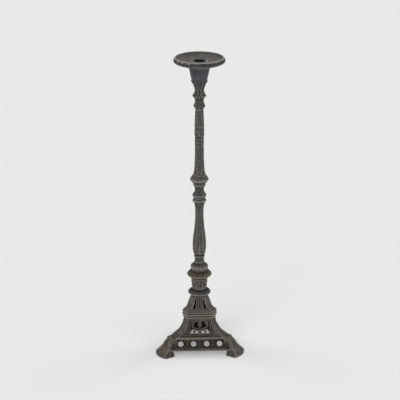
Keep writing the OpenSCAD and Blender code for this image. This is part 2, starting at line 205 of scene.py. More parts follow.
def blob(centre, axes, rings=8, sides=12):
    """Points and faces of a ball stretched along three axis vectors."""
    points = [Vector(centre) + Vector(axes[2])]
    faces = []
    for i in range(1, rings):
        a = math.pi * i / rings
        for j in range(sides):
            b = TAU * j / sides
            points.append(
                Vector(centre)
                + Vector(axes[0]) * (math.sin(a) * math.cos(b))
                + Vector(axes[1]) * (math.sin(a) * math.sin(b))
                + Vector(axes[2]) * math.cos(a)
            )
    points.append(Vector(centre) - Vector(axes[2]))
    last = len(points) - 1
    for j in range(sides):
        k = (j + 1) % sides
        faces.append([0, 1 + j, 1 + k])
        for i in range(rings - 2):
            a, b = 1 + i * sides, 1 + (i + 1) * sides
            faces.append([a + j, b + j, b + k, a + k])
        a = 1 + (rings - 2) * sides
        faces.append([a + j, last, a + k])
    return points, faces


def cast(name, node, shapes, turn=0.0, voxel=0.42, soften=6):
    """A CAD node and raised shapes melted into one skin, as a casting comes out."""
    bm = cad_copy(node, turn)
    for points, faces in shapes:
        verts = [bm.verts.new(p) for p in points]
        for f in faces:
            bm.faces.new([verts[i] for i in f])
    bmesh.ops.recalc_face_normals(bm, faces=bm.faces)
    rough = bpy.data.meshes.new(name)
    bm.to_mesh(rough)
    bm.free()
    rough.transform(Matrix.Scale(MM, 4))
    return modified(rough, [
        ("REMESH", {"mode": "VOXEL", "voxel_size": voxel * MM}),
        ("SMOOTH", {"factor": 0.5, "iterations": soften}),
    ])


def modified(mesh, modifiers):
    """The mesh that comes out of a list of modifiers."""
    ob = bpy.data.objects.new("work", mesh)
    bpy.context.scene.collection.objects.link(ob)
    for kind, settings in modifiers:
        m = ob.modifiers.new(kind.lower(), kind)
        for key, value in settings.items():
            setattr(m, key, value)
    graph = bpy.context.evaluated_depsgraph_get()
    made = bpy.data.meshes.new_from_object(ob.evaluated_get(graph))
    bpy.data.objects.remove(ob)
    return made


def grain(name, size, depth):
    """A displacement that roughens a skin: grains of a size, in millimetres."""
    texture = bpy.data.textures.new(name, "CLOUDS")
    texture.noise_scale = size * MM
    texture.noise_depth = depth
    return texture


SAND = grain("sand", 1.6, 2)
WARP = grain("warp", 14.0, 1)
MOTTLE = grain("mottle", 4.5, 2)


def per_vertex(mesh, what):
    """A vector for each vertex: its place in metres ("co") or its normal ("normal")."""
    values = np.empty(len(mesh.vertices) * 3, np.float32)
    mesh.vertices.foreach_get(what, values)
    return values.reshape(-1, 3)


def add_wear_and_painted_light(mesh, top_shade, tone, turn):
    """Stores how far each vertex stands out: -1 in a hollow, 1 on a rubbed edge.

    Painted shade darkens faces that look up, which then count as hollows. A tone, a
    function of place (mm) and normal, adds one piece's own marks: painted highlights,
    painted shade, scratches and lighter or darker bands. Both are turned back by turn,
    so that one tone serves all three sides.
    """
    n = len(mesh.vertices)
    co = per_vertex(mesh, "co").astype(float) / MM
    normal = per_vertex(mesh, "normal")
    edge = np.empty(len(mesh.edges) * 2, np.int32)
    mesh.edges.foreach_get("vertices", edge)
    a, b = edge.reshape(-1, 2).T
    count = np.bincount(np.concatenate([a, b]), minlength=n)[:, None]
    around, stand = co.copy(), np.zeros(n)
    for i in range(1, HOLLOW_ROUNDS + 1):
        total = np.column_stack([
            np.bincount(a, around[b, k], n) + np.bincount(b, around[a, k], n) for k in range(3)
        ])
        around = total / np.maximum(count, 1)
        out = ((co - around) * normal).sum(1)
        if i == EDGE_ROUNDS:
            stand += out / EDGE_MM
        elif i == HOLLOW_ROUNDS:
            stand += np.minimum(out, 0) / HOLLOW_MM
    # Painted shade: faces that look up are darkened, as hollows are.
    stand -= top_shade * np.clip(normal[:, 2], 0, 1)
    if tone:
        c, s = math.cos(turn), math.sin(turn)
        back = np.array([[c, -s, 0], [s, c, 0], [0, 0, 1]])
        stand += tone(co @ back, normal @ back)
    mesh.attributes.new(WEAR_AND_PAINTED_LIGHT, "FLOAT", "POINT").data.foreach_set(
        "value", np.tanh(stand).astype(np.float32)
    )


def stand_on_floor(mesh):
    """Flattens whatever the rough surface pushed below the floor."""
    co = per_vertex(mesh, "co")
    co[:, 2] = np.maximum(co[:, 2], 0)
    mesh.vertices.foreach_set("co", co.ravel())
    mesh.update()


def piece(
    name, mesh, node, material,
    sand=0.10, warp=0.25, mottle=0.15, top_shade=0.3, tone=None, turn=0.0,
):
    """Puts a mesh into the frame in a CAD node's place, roughened by these millimetres, and
    darkens its upward faces with painted shade.
    """
    mesh = modified(mesh, [
        ("DISPLACE", {"texture": texture, "strength": strength * MM, "mid_level": 0.5})
        for texture, strength in ((MOTTLE, mottle), (WARP, warp), (SAND, sand))
    ])
    mesh.name = name
    stand_on_floor(mesh)
    add_wear_and_painted_light(mesh, top_shade, tone, turn)
    mesh.polygons.foreach_set("use_smooth", np.ones(len(mesh.polygons), bool))
    ob = bpy.data.objects.new(name, mesh)
    bpy.context.scene.collection.objects.link(ob)
    mesh.materials.clear()
    mesh.materials.append(material)
    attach(ob, "root")
    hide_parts(node)


# ---- Materials ------------------------------------------------------------------


def node_in(tree, kind, **settings):
    """A shader node with its properties and unlinked sockets set."""
    made = tree.nodes.new(kind)
    for key, value in settings.items():
        if hasattr(made, key):
            setattr(made, key, value)
        else:
            made.inputs[key.replace("_", " ")].default_value = value
    return made


def iron(name, base, edge, rust, rust_share=0.3, rough=0.62, grey_share=0.5, warm=None):
    """Blackened iron: mottled, dark in its hollows and its painted shade, bright on its rubbed
    edges and its painted highlights.

    Shares run from 0 to 1. A warm patch is its centre and reach in metres, its colour
    and its share.
    """
    mat = bpy.data.materials.new(name)
    mat.use_nodes = True
    tree = mat.node_tree
    link = tree.links.new
    shader = tree.nodes["Principled BSDF"]
    place = node_in(tree, "ShaderNodeTexCoord").outputs["Object"]

    def noise(scale, detail, roughness=0.55, shift=0.0):
        """A noise over the piece, from 0 to 1. A shift keeps it from matching another."""
        moved = node_in(tree, "ShaderNodeVectorMath", operation="ADD")
        moved.inputs[1].default_value = (shift, shift * 0.7, shift * 1.3)
        link(place, moved.inputs[0])
        made = node_in(
            tree, "ShaderNodeTexNoise", Scale=scale, Detail=detail, Roughness=roughness
        )
        link(moved.outputs[0], made.inputs["Vector"])
        return made.outputs["Fac"]

    def spread(value, low, high, to_low=0.0, to_high=1.0):
        """A value mapped from one range to another, and held inside it."""
        made = node_in(
            tree, "ShaderNodeMapRange",
            From_Min=low, From_Max=high, To_Min=to_low, To_Max=to_high,
        )
        link(value, made.inputs["Value"])
        return made.outputs["Result"]

    def feed(socket, value):
        """Links a socket to another, or sets it to a number or a colour."""
        if isinstance(value, bpy.types.NodeSocket):
            link(value, socket)
        else:
            socket.default_value = (*value, 1) if isinstance(value, tuple) else value

    def mix(share, a, b):
        """Colour a with a share of colour b over it."""
        made = node_in(tree, "ShaderNodeMix", data_type="RGBA")
        colour_a, colour_b, result = made.inputs[6], made.inputs[7], made.outputs[2]
        for socket, value in ((made.inputs["Factor"], share), (colour_a, a), (colour_b, b)):
            feed(socket, value)
        return result

    def times(a, b):
        """The product of two values."""
        made = node_in(tree, "ShaderNodeMath", operation="MULTIPLY")
        for socket, value in zip(made.inputs, (a, b)):
            feed(socket, value)
        return made.outputs[0]

    def patches(scale, detail, shift, low, high, most=1.0):
        """A share from 0 to most, in patches."""
        return spread(noise(scale, detail, 0.6, shift), low, high, 0.0, most)

    wear_and_painted_light = node_in(tree, "ShaderNodeAttribute", attribute_name=WEAR_AND_PAINTED_LIGHT).outputs["Fac"]
    soot_and_shade, dark, pale = (tuple(c * k for c in base) for k in (0.2, 0.4, 2.2))
    blotch = spread(noise(55, 6), 0.38, 0.64)
    colour = mix(times(blotch, grey_share), base, pale)
    colour = mix(patches(260, 3, 3.0, 0.48, 0.62, 0.8), colour, dark)
    colour = mix(patches(240, 3, 17.0, 0.53, 0.64, 0.6), colour, pale)
    colour = mix(times(patches(75, 8, 7.0, 0.48, 0.68), rust_share), colour, rust)
    if warm:
        centre, reach, tint, amount = warm
        away = node_in(tree, "ShaderNodeVectorMath", operation="DISTANCE")
        away.inputs[1].default_value = centre
        link(place, away.inputs[0])
        close = spread(away.outputs["Value"], 0.0, reach, 1.0, 0.0)
        share = times(times(close, patches(90, 5, 11.0, 0.36, 0.6)), amount)
        colour = mix(share, colour, tint)
    # Rubbed edges and painted highlights take the edge colour; hollows and painted shade take the
    # soot colour.
    colour = mix(spread(wear_and_painted_light, 0.25, 0.98, 0.0, 0.85), colour, edge)
    colour = mix(spread(wear_and_painted_light, -0.1, -0.85, 0.0, 0.9), colour, soot_and_shade)
    link(colour, shader.inputs["Base Color"])
    matt = spread(noise(160, 5, 0.6, 5.0), 0.3, 0.7, rough - 0.12, rough + 0.18)
    link(matt, shader.inputs["Roughness"])
    shader.inputs["Metallic"].default_value = 0.25
    link(spread(wear_and_painted_light, -0.85, 0.3, 0.05, 0.5), shader.inputs["Specular IOR Level"])
    bump = node_in(tree, "ShaderNodeBump", Strength=0.5, Distance=0.0004)
    link(noise(900, 5, 0.6, 9.0), bump.inputs["Height"])
    pits = node_in(tree, "ShaderNodeBump", Strength=0.35, Distance=0.0006)
    link(spread(noise(330, 2, 0.5, 13.0), 0.3, 0.45), pits.inputs["Height"])
    link(bump.outputs["Normal"], pits.inputs["Normal"])
    link(pits.outputs["Normal"], shader.inputs["Normal"])
    return mat


GREY = (0.054, 0.052, 0.047)
BROWN = (0.070, 0.052, 0.038)
EDGE_AND_HIGHLIGHT = (0.25, 0.235, 0.21)
RUST = (0.115, 0.062, 0.036)

stem_iron = iron("stem iron", GREY, EDGE_AND_HIGHLIGHT, RUST, rust_share=0.25)
# The pan has a warm stain on the left of its rim.
pan_iron = iron(
    "pan iron", (0.078, 0.075, 0.068), (0.32, 0.305, 0.27), RUST, rust_share=0.2, grey_share=0.3,
    warm=((-0.034, -0.008, 0.607), 0.034, (0.13, 0.105, 0.08), 0.8),
)
cup_iron = iron(
    "cup iron", (0.045, 0.048, 0.054), (0.15, 0.15, 0.15), BROWN, rust_share=0.15, rough=0.55
)
ring_iron = iron("ring iron", (0.068, 0.059, 0.038), (0.22, 0.19, 0.14), RUST, rust_share=0.35)
tier_iron = iron("tier iron", (0.058, 0.053, 0.046), EDGE_AND_HIGHLIGHT, RUST, rust_share=0.45)
ledge_iron = iron(
    "ledge iron", (0.058, 0.051, 0.043), (0.27, 0.245, 0.215), (0.13, 0.08, 0.05), rust_share=0.4
)
panel_iron = iron("panel iron", (0.050, 0.045, 0.038), (0.32, 0.30, 0.26), RUST, rust_share=0.45)
leg_iron = iron("leg iron", (0.056, 0.047, 0.040), (0.27, 0.24, 0.20), RUST, rust_share=0.6)
steel = iron("plain steel", (0.22, 0.22, 0.22), (0.4, 0.4, 0.4), RUST, rust_share=0.5, rough=0.4)


# ---- Turned stem ----------------------------------------------------------------


def leaves(phi, h, count, foot, tip, turn=0.0, lobes=2.5, fat=1.0):
    """Height, from 0 to about 1, of a ring of pointed leaves with lobed edges.

    Across a leaf, u runs from 0 at its midrib; along it, v runs from foot to tip.
    """
    u = 2 * np.abs((phi * count / TAU + turn) % 1 - 0.5)
    v = (h - foot) / (tip - foot)
    inside = (v >= 0) & (v <= 1)
    v = np.clip(v, 0, 1)
    lobed = 0.86 + 0.14 * np.cos(TAU * lobes * v)
    stalk = np.clip(v / 0.06, 0, 1)
    width = fat * np.sqrt(1 - v) * lobed * stalk
    edge = np.clip((width - u) / 0.22, 0, 1)
    blade = edge * edge * (3 - 2 * edge)
    rib = np.exp(-((u / 0.13) ** 2)) * 0.45
    hollow = np.exp(-(((u - 0.3) / 0.14) ** 2)) * 0.25
    return np.where(inside, blade * (0.8 + rib - hollow), 0)


def beads(phi, h, count, at, size, turn=0.0):
    """Height, 0 to 1, of a ring of round beads."""
    u = ((phi * count / TAU + turn) % 1 - 0.5) * 2
    return np.exp(-(((h - at) / size) ** 2) - (u / 0.55) ** 2)


def band(h, low, high, ease):
    """1 between two heights, easing to 0 outside them."""
    return np.clip(np.minimum(h - low, high - h) / ease + 0.5, 0, 1)


def near(value, at, width):
    """1 at a value, such as a turned line's height, easing to 0 beside it."""
    return np.exp(-(((value - at) / width) ** 2))


# Raised work on each turned piece, in millimetres, by azimuth and by height above its
# foot. Leaves that hang are drawn with the height's sign turned.


def leaf_knop_relief(phi, h):
    """Two tiers of leaves, a toothed edge and two beaded rings."""
    upper = leaves(phi, h, 8, 28.5, 54) * 0.8 - 0.6 * band(h, 28, 53, 2)
    lower = leaves(phi, h, 8, 8, 25.5, 0.5) * 0.65 - 0.5 * band(h, 8, 25, 2)
    teeth = (np.cos(22 * phi) - 1) * 0.4 * band(h, 53, 57.5, 0.8)
    rings = (np.cos(18 * phi) - 1) * 0.25 * (band(h, 24.5, 28.5, 1) + band(h, 4.5, 7.5, 1))
    return upper + lower + teeth + rings


def upper_stem_relief(phi, h):
    """Arches, lance leaves, a knot and hanging leaves on a scaled shaft."""
    arches = (np.abs(np.sin(4 * phi)) - 0.8) * 0.7 * band(h, 125, 131, 1)
    arches = arches + 0.3 * band(h, 122.6, 124, 0.5)
    lance = leaves(phi, h, 6, 97, 123, 0.0, 1.5, 0.8) * 0.9
    between = leaves(phi, h, 6, 95, 113, 0.5, 1.5, 0.7) * 0.8
    ground = -0.6 * band(h, 60, 124, 2)
    knot = beads(phi, h, 6, 90.5, 1.8) * 0.8
    hanging = leaves(phi, -h, 6, -89, -79.5, 0.5, 1.5) * 0.9
    drops = leaves(phi, -h, 6, -77, -60, 0.0, 1.5, 0.7) * 0.8
    scales = np.cos(7 * phi + h * 0.9) * np.cos(7 * phi - h * 0.9) * 0.05 * band(h, 20, 76, 4)
    foot_leaves = leaves(phi, h, 8, 2, 17, 0.0, 0.0, 0.8) * 0.3 - 0.1
    carving = arches + lance + between + ground + knot + hanging + drops
    return 0.55 * carving + scales + foot_leaves


def middle_collar_relief(phi, h):
    """Gadroons between two turned lines."""
    gadroons = 0.2 * (np.cos(16 * phi) - 1) * band(h, 10, 16, 2)
    return gadroons - 0.7 * near(h, 11.8, 0.7) - 0.6 * near(h, 6.6, 0.6)


def waisted_link_relief(phi, h):
    """A ring of plain leaves."""
    return leaves(phi, h, 6, 8, 21, 0.0, 0.0, 0.7) * 0.5 - 0.2


def baluster_relief(phi, h):
    """Long and short leaves on a fluted belly, and leaves that hang from the neck."""
    flutes = (np.cos(12 * phi) - 1) * 0.16 * band(h, 20, 70, 14)
    long_leaves = leaves(phi, h, 6, 26, 82, 0.0, 4.5, 0.9) * 0.7
    short_leaves = leaves(phi, h, 6, 17, 42, 0.5, 1.5, 0.9) * 0.8
    cup_leaves = leaves(phi, h, 12, 16.5, 24, 0.25, 0.0) * 0.4
    neck_leaves = leaves(phi, -h, 8, -126, -106, 0.0, 1.0, 0.8) * 0.45
    ground = -0.65 * band(h, 18, 78, 4)
    scales = np.cos(6 * phi + h * 0.8) * np.cos(6 * phi - h * 0.8) * 0.05 * band(h, 30, 122, 5)
    ring = 0.25 * (np.cos(14 * phi) - 1) * band(h, 10.5, 13.5, 1)
    leafage = flutes + long_leaves + short_leaves + cup_leaves + neck_leaves + ground
    return 0.5 * leafage + scales + ring


def cushion_relief(phi, h):
    """Gadroons under a turned line."""
    gadroons = 0.2 * (np.abs(np.sin(8 * phi)) - 0.9) * band(h, 2, 9.5, 3)
    return gadroons - near(h, 10.8, 0.7)


def wide_ring_relief(phi, h):
    """Two turned lines."""
    return -0.9 * near(h, 12.2, 0.8) - 0.7 * near(h, 5.4, 0.7)


def narrow_ring_relief(phi, h):
    """Two turned lines."""
    return -0.8 * near(h, 10.8, 0.8) - 0.6 * near(h, 4.8, 0.7)


def carved_knop_relief(phi, h):
    """Leaves from both edges that meet over a ring of scrolls."""
    upward = leaves(phi, h, 8, 2.6, 12.5, 0.0, 1.5) * 1.2
    downward = leaves(phi, -h, 8, -19, -9.5, 0.5, 1.5) * 1.2
    scrolls = beads(phi, h, 8, 15.2, 2.0) + beads(phi, h, 8, 5.4, 1.6, 0.5) * 0.9
    return upward + downward + scrolls - 1.3 * band(h, 2.2, 19, 1)


PAN_LIP_R, PAN_LIP_H = 46.3, 17.2
PAN_WALL_R = 43
CUP_HOLE_R = 12.2


def pan_tone(co, normal):
    """Painted shade on the outer wall with a painted highlight low on its front, scratches on its
    front left, a lip lighter on the front left, and painted light on the dish's upward faces,
    most on its right.
    """
    r = np.hypot(co[:, 0], co[:, 1])
    phi = np.arctan2(co[:, 0], -co[:, 1])
    h = co[:, 2] - foot_of("drip_pan")
    wall = np.clip((r - PAN_WALL_R) / 3, 0, 1) * np.clip((0.75 - normal[:, 2]) / 0.3, 0, 1)
    # A painted highlight low on the front of the wall.
    foot_highlight = near(phi, 0.1, 0.4) * near(h, 6.4, 1.3) * 4.2
    lip = near(h, PAN_LIP_H, 0.9) * near(r, PAN_LIP_R, 1.4)
    lip = lip * (0.5 * near(phi, -0.9, 0.9) - 0.25)
    # Painted light on the upward faces of the dish, most on the right.
    dish_light = 0.3 * np.clip((normal[:, 2] - 0.75) / 0.2, 0, 1) * near(phi, 0.8, 2.2)
    scratches = np.clip(np.sin(23 * phi) + 0.6 * np.sin(57 * phi + 1), 0, 1)
    scratched = near(phi, -0.75, 0.5) * near(h, PAN_LIP_H - 2.2, 1.6) * scratches * 2.4
    # The rest of the wall is darkened as painted shade.
    return wall * (foot_highlight + scratched - 1.6) + lip + dish_light


def cup_hole_shade(co, normal):
    """Painted shade inside the candle hole."""
    return np.where(np.hypot(co[:, 0], co[:, 1]) < CUP_HOLE_R, -4.0, 0.0)


def leaf_knop_tone(co, normal):
    """Painted shade on the toothed edge under the cup, and darker edges on the two rings."""
    h = co[:, 2] - foot_of("leaf_knop")
    return np.where(h > 53.3, -1.5, -0.6 * (near(h, 26.4, 1.8) + near(h, 6, 1.8)))


def highlight_line(node, at, rest):
    """A piece of one darkness with a painted highlight along a turned line at a height above its
    foot.
    """
    return lambda co, normal: rest + 1.4 * near(co[:, 2] - foot_of(node), at, 0.8)


# For each turned piece: its slot and material, how many segments it has around it, the
# step along its outline in millimetres, its raised work and its tone.
TURNED = {
    "drip_pan": ("pan_iron", pan_iron, 256, 0.7, None, pan_tone),
    "candle_cup": ("cup_iron", cup_iron, 160, 0.6, None, cup_hole_shade),
    "leaf_knop": ("stem_iron", stem_iron, 176, 0.5, leaf_knop_relief, leaf_knop_tone),
    "upper_stem": ("stem_iron", stem_iron, 144, 0.55, upper_stem_relief, None),
    "middle_collar": (
        "stem_iron", stem_iron, 176, 0.5, middle_collar_relief,
        highlight_line("middle_collar", 9.2, -0.1),
    ),
    "waisted_link": ("stem_iron", stem_iron, 160, 0.5, waisted_link_relief, None),
    "baluster": ("stem_iron", stem_iron, 160, 0.55, baluster_relief, None),
    "cushion": (
        "stem_iron", stem_iron, 176, 0.5, cushion_relief, highlight_line("cushion", 6.5, -0.1),
    ),
    "wide_ring": (
        "ring_iron", ring_iron, 208, 0.5, wide_ring_relief, highlight_line("wide_ring", 3.6, -0.3),
    ),
    "carved_knop": ("stem_iron", stem_iron, 192, 0.45, carved_knop_relief, None),
    "narrow_ring": (
        "stem_iron", stem_iron, 208, 0.5, narrow_ring_relief,
        highlight_line("narrow_ring", 3.2, -0.35),
    ),
}

# The pan and the cup are plain, and smoother than the carved pieces.
PLAIN_MOTTLE, CARVED_MOTTLE = 0.1, 0.45
# How strongly painted shade darkens the upward faces of the stem's pieces.
STEM_TOP_SHADE = 0.75

for node, (slot, material, segments, step, relief, tone) in TURNED.items():
    foot = foot_of(node)
    raised = relief and (lambda phi, z: relief(phi, z - foot))
    mesh = revolve(node, rounded(even(section(node), step), 2), segments, raised)
    piece(
        node + "_cast", mesh, node, material, sand=0.08, warp=0.2,
        mottle=CARVED_MOTTLE if relief else PLAIN_MOTTLE,
        top_shade=0.0 if node == "drip_pan" else STEM_TOP_SHADE, tone=tone,
    )


# ---- Three-sided base -----------------------------------------------------------


def curve(p0, p1, p2, n=10):
    """Points from a start to an end, drawn towards a pull point."""
    p0, p1, p2 = (np.array(p, float) for p in (p0, p1, p2))
    return [
        tuple((1 - t) ** 2 * p0 + 2 * t * (1 - t) * p1 + t * t * p2)
        for t in np.linspace(0, 1, n + 1)
    ]


def spiral(centre, start_r, end_r, start, turns, n):
    """Points that wind in towards a centre. Angles are in degrees."""
    out = []
    for i in range(n + 1):
        t = i / n
        a = math.radians(start + 360 * turns * t)
        r = start_r + (end_r - start_r) * t
        out.append((centre[0] + r * math.cos(a), centre[1] + r * math.sin(a)))
    return out


# Rays towards a CAD surface start this far out, and a slope is measured this far apart.
RAY_FROM, SLOPE_REACH = 200, 0.6


class Face:
    """A CAD surface seen from one side, on which raised work is laid."""

    def __init__(self, node, turn, towards):
        bm = cad_copy(node, turn)
        self.tree = BVHTree.FromBMesh(bm)
        bm.free()
        self.towards = Vector(towards)

    def at(self, a, z, out=0.0):
        """The point at a sideways place and height, raised off the surface."""
        side = self.towards.cross(Vector((0, 0, 1)))
        start = side * a + Vector((0, 0, z)) - self.towards * RAY_FROM
        hit, normal, _, _ = self.tree.ray_cast(start, self.towards)
        if hit is None:
            return None
        return hit + normal * out


class Sweep:
    """The front of a panel: one section swept sideways, so depth follows height.

    Places on it are (sideways, height) in millimetres, and side -1 mirrors them.
    """

    def __init__(self, node, probe_x, low, high):
        face = Face(node, 0.0, (0, 1, 0))
        self.z = np.arange(low, high, 0.4)
        self.y = np.array([face.at(probe_x(z), z).y for z in self.z])

    def at(self, x, z, out=0.0):
        """The point at a sideways place and height, raised off the surface."""
        y = float(np.interp(z, self.z, self.y))
        below, above = np.interp([z - SLOPE_REACH, z + SLOPE_REACH], self.z, self.y)
        slope = (above - below) / (2 * SLOPE_REACH)
        normal = Vector((0, -1, slope)).normalized()
        return Vector((x, y, z)) + normal * out

    def rod(self, path, radius, out=0.0, side=1):
        """A rod along a path of places, raised by out."""
        return tube([self.at(side * x, z, out) for x, z in path], radius)

    def leaf(self, x, z, along, length, width, height=1.0, side=1):
        """A raised leaf centred at a place; along is its angle from upright."""
        a = math.radians(along)
        tip = self.at(side * (x + math.sin(a)), z + math.cos(a)) - self.at(side * x, z)
        tip.normalize()
        ahead = self.at(x, z + 0.5) - self.at(x, z - 0.5)
        out = Vector((1, 0, 0)).cross(ahead).normalized()
        if out.y > 0:
            out = -out
        return blob(self.at(side * x, z), (tip * length, tip.cross(out) * width, out * height))


def mirrored(make):
    """Shapes made on the right and again on the left."""
    return [shape for side in (1, -1) for shape in make(side)]


# The front panel, in millimetres: its window, its sloping band, and the holes in it.
WINDOW_FOOT, WINDOW_TOP = 38.6, 63.5
BESIDE_WINDOW = 22.4
BAND_FOOT, BAND_TOP = foot_of("front_panel"), 34.5
BAND_SLOPE = math.radians(32.8)
HOLES = (13.3, 39.2)
HOLE_Z = (BAND_FOOT + BAND_TOP) / 2 + 1
RING_R = 6.6


def panel_shapes():
    """Raised work on the front panel: scrolls in its window, rings and flowers below."""

    def solid_at(z):
        """A sideways place where the panel is solid: beside the window, or mid-band."""
        return BESIDE_WINDOW if z > BAND_TOP + 1 else 0.0

    face = Sweep("front_panel", solid_at, BAND_FOOT + 0.3, WINDOW_TOP + 4)

    def flower(x, angles):
        """A flower on the band, with leaves at these angles from upright."""
        made = [face.leaf(x, HOLE_Z, 0, 1.5, 1.5, 1.3)]
        for angle in angles:
            a = math.radians(angle)
            place = (x + 3.2 * math.sin(a), HOLE_Z + 3.1 * math.cos(a))
            made.append(face.leaf(*place, angle, 3.2, 1.2, 1.0))
        return made

    def half(side):
        """Half of the scrolls, the ribs beside the window and the rings of two holes."""
        head = spiral((13.8, 60.4), 0.9, 2.7, 215, -0.9, 18)
        heart = head + curve(head[-1], (18.2, 53.5), (10.5, 50.4), 6)[1:]
        heart += curve((10.5, 50.4), (4, 48.6), (0, 46.9), 5)[1:]
        arch = curve((0, 46.9), (5.4, 44.9), (9.5, 47.8), 6)
        arch += curve((9.5, 47.8), (18.6, 49.8), (20.6, 38), 10)[1:]
        frame_rib = [(21.9, 37.6), (21.9, 50), (21.0, 64.4)]
        edge_rib = [(23.3, 66.4), (23.5, 60), (24.8, 55), (27.0, 50), (30.2, 44), (35.0, 37.4)]
        made = [
            face.rod(heart, 1.3, 0.5, side),
            face.rod(arch, 1.4, 0.35, side),
            blob(face.at(side * 13.8, 60.4, 0.7), ((1.3, 0, 0), (0, 1.2, 0), (0, 0, 1.3))),
            face.rod([(11.8, 37), (11.6, 41), (11.4, 43.6)], 1.0, 0.1, side),
            face.leaf(9.2, 43.6, -55, 2.6, 1.2, 1.0, side),
            face.leaf(13.4, 43.6, 55, 2.6, 1.2, 1.0, side),
            face.rod(frame_rib, 0.8, 0.1, side),
            face.rod(edge_rib, 0.95, 0.05, side),
            face.leaf(2.6, 57.2, 50, 2.6, 1.0, 1.3, side),
            face.leaf(1.9, 60.6, 30, 2.2, 0.9, 1.2, side),
            face.leaf(2.0, 53.4, 62, 1.8, 0.8, 1.1, side),
        ]
        for x in HOLES:
            ring = [
                (x + RING_R * math.cos(a), HOLE_Z + RING_R * math.cos(BAND_SLOPE) * math.sin(a))
                for a in np.linspace(0, TAU, 25)
            ]
            made.append(face.rod(ring, 0.95, 0.3, side))
        return made

    centre = [
        face.rod([(0, 37.6), (0, 44), (0, 50)], 1.05, 0.4),
        face.leaf(2.8, 40.6, 30, 2.8, 1.2, 1.0),
        face.leaf(-2.8, 40.6, -30, 2.8, 1.2, 1.0),
        face.leaf(0, 57.0, 0, 5.6, 1.5, 1.8),
        face.leaf(0, 62.6, 0, 2.2, 1.3, 1.3),
        face.rod([(x, BAND_TOP - 4.4) for x in np.linspace(-47, 47, 30)], 0.5, 0.1),
        face.rod([(x, BAND_FOOT + 4.4) for x in np.linspace(-54, 54, 30)], 0.5, 0.1),
        face.rod([(x, WINDOW_FOOT - 0.9) for x in np.linspace(-34, 34, 20)], 0.8, 0.0),
        face.rod([(x, WINDOW_TOP + 1.3) for x in np.linspace(-22, 22, 14)], 0.8, 0.1),
    ]
    middle = (HOLES[0] + HOLES[1]) / 2
    every = (45, 135, -45, -135)
    flowers = flower(0, every) + flower(middle, every) + flower(-middle, every)
    flowers += flower(49, (-45, -135, 135)) + flower(-49, (45, 135, -135))
    return centre + mirrored(half) + flowers


# The middle of a volute, on a leg that runs out along +X.
VOLUTE_AT = (66.2, 10.9, 28.8)


def leg_shapes():
    """Raised work on a leg that runs out along +X: folds, a volute and toe ribs."""
    crest = Face("right_leg", -FIRST_LEG_TURN, (-1, 0, 0))
    flank = Face("right_leg", -FIRST_LEG_TURN, (0, 1, 0))

    def down(places, radius, out, side):
        """A rod down the crest; a place is a share of the half width, and a height."""
        points = []
        for share, z in places:
            half_w = abs(flank.at(crest.at(0, z).x - 2.5, z).y)
            points.append(crest.at(side * share * half_w, z, out))
        return tube(points, radius)

    def along(places, radius, out, side):
        """A rod on the flank through places at a distance from the axis and a height."""
        points = [flank.at(r, z, out) for r, z in places]
        return tube([(p.x, side * p.y, p.z) for p in points if p], radius)

    fold_z = (65.5, 60, 55, 50, 46, 42.5, 40, 38.3, 36.9)
    toe_z = (34, 31, 27, 22, 17, 12, 8, 5)

    def volute(side):
        """A scroll that faces out over the joint between a leg and its panel."""
        x, y, z = VOLUTE_AT
        centre = Vector((x, side * y, z))
        face_out = Vector((0.42, side * 0.91, 0.12)).normalized()
        up = Vector((0, 0, 1))
        across = up.cross(face_out).normalized()
        over = face_out.cross(across)
        ring = [
            centre + across * x + over * z + face_out * 1.5
            for x, z in spiral((0, 0), 4.4, 0.6, 70, -1.7, 34)
        ]
        return [
            blob(centre, (across * 5.0, over * 5.0, face_out * 2.1)),
            tube(ring, 0.95),
            blob(centre + face_out * 1.7, (across * 1.2, over * 1.2, face_out * 1.2)),
        ]

    def half(side):
        """The volute, folds and toe ribs on one side."""
        return volute(side) + [
            down([(0.84, z) for z in fold_z], 1.2, -0.4, side),
            down([(0.40, z) for z in fold_z], 1.0, -0.2, side),
            down([(0.30 + 0.012 * (34 - z), z) for z in toe_z], 1.2, 0.1, side),
            down([(0.66 + 0.006 * (34 - z), z) for z in toe_z], 1.5, 0.3, side),
            down([(0.95, z) for z in toe_z[2:]], 1.2, 0.1, side),
            along(curve((71.8, 24), (72.5, 14), (74, 2.5), 10), 1.2, 0.0, side),
            along(curve((76.0, 18), (78, 11), (84, 2.5), 10), 1.1, 0.0, side),
        ]

    knee = blob((67, 0, 32.6), ((4.5, 0, 0), (0, 7.0, 0), (0, 0, 3.0)))
    return mirrored(half) + [knee, down([(0, z) for z in fold_z], 1.1, 0.0, 1)]


def tier_shapes():
    """Raised work on the upper tier: a column between two pierced leaves, on each side."""
    low = foot_of("upper_tier")
    face = Sweep("upper_tier", lambda z: 0.0, low + 0.4, low + 24.6)
    one = [face.leaf(0, low + 2.0, 0, 2.6, 1.5, 1.5)]
    for side in (1, -1):
        column = [(5.6, low + 1.2), (3.4, low + 4), (2.4, low + 9), (2.1, low + 24)]
        rim = [
            (7.2, low + 2.8), (7.0, low + 6), (6.6, low + 12.5), (5.7, low + 18.5),
            (7.6, low + 21.8),
        ]
        outer = [
            (16.4, low + 1.4), (14.8, low + 5.5), (12.2, low + 12.5), (11.2, low + 18),
            (8.6, low + 21.8),
        ]
        one.append(face.rod(column, 0.95, 0.3, side))
        one.append(face.rod(rim, 0.7, 0.15, side))
        one.append(face.rod(outer, 0.85, 0.2, side))
        one.append(face.leaf(10.4, low + 1.2, 90, 3.0, 0.8, 0.9, side))
    made = []
    for k in range(3):
        spin = Matrix.Rotation(k * SIDE_TURN, 3, "Z")
        made += [([spin @ p for p in points], faces) for points, faces in one]
    return made


# Painted shade on the surfaces that face into the base.
INSIDE_SHADE = -1.6


